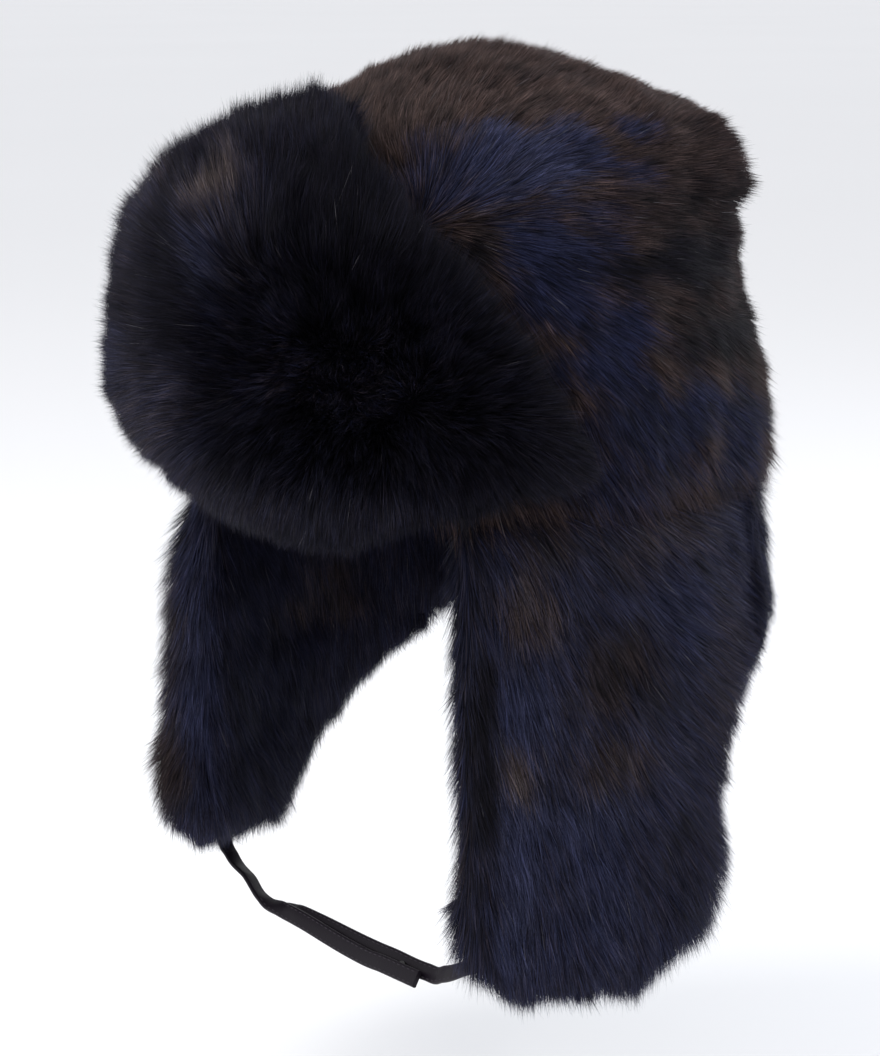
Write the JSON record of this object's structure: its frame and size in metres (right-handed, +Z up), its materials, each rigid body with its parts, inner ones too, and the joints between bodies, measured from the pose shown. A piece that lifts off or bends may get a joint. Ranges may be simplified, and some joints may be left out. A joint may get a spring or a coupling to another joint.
{
  "type": "ushanka fur hat",
  "caption": "Fur hat with a rounded crown, a turned-up visor, long ear flaps, a short nape flap and a leather chin strap fastened under the chin.",
  "frame": {"origin": "middle of the crown's rim, where the hat sits on a head, in the plane where the flaps begin", "axes": "+Z up, the wearer looks along -Y, +X towards the wearer's left ear"},
  "size_m": [0.2405, 0.2636, 0.3429],
  "materials": {
    "crown_cloth": "plain dark cotton over padding, matte",
    "crown_fur": "soft dense fur, brown over the top and blue-grey at the side, pale guard hairs",
    "visor_fur": "long fur, near black with pale grey-brown tips, combed out from one parting",
    "flap_fur": "long fur, dark blue-grey with brown patches, hanging down",
    "strap_leather": "smooth dark leather with stitched edges, soft sheen",
    "stud_metal": "dark lacquered metal"
  },
  "bodies": {
    "root": {"crown_wall": "crown_cloth", "crown_fur": "crown_fur", "visor": "visor_fur", "ear_flap_left": "flap_fur", "ear_flap_right": "flap_fur", "nape_flap": "flap_fur", "strap_left": "strap_leather", "strap_right": "strap_leather", "strap_stud": "stud_metal"}
  },
  "joints": []
}
